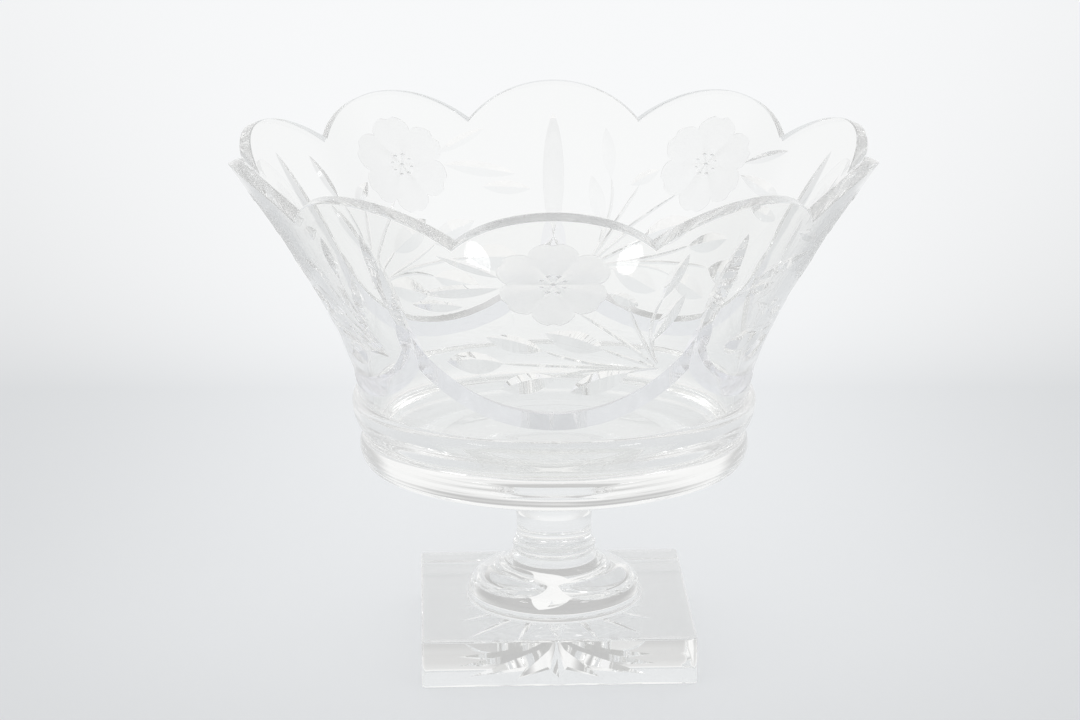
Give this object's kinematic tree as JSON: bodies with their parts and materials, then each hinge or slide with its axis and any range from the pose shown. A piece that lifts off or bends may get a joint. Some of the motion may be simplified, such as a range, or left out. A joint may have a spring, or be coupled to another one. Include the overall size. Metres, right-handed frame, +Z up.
{
  "type": "footed glass bowl",
  "caption": "Flared cut-glass bowl with a scalloped rim, on a short stem, a domed foot and a thick square star-cut plinth.",
  "frame": {"origin": "middle of the plinth's underside, on the surface that the bowl stands on", "axes": "+Z up along the bowl's axis of turning, -Y towards the front, where the middle of one scallop and of one cut panel faces, +X to the right as seen from the front"},
  "size_m": [0.2426, 0.25, 0.2011],
  "materials": {
    "plinth_glass": "polished",
    "foot_glass": "polished",
    "wafer_glass": "polished",
    "stem_glass": "polished",
    "bowl_glass": "polished, cut decoration part polished and part matt"
  },
  "bodies": {
    "root": {"square_plinth": "plinth_glass", "domed_foot": "foot_glass", "lower_wafer": "wafer_glass", "stem": "stem_glass", "upper_wafer": "wafer_glass", "bowl": "bowl_glass"}
  },
  "joints": []
}
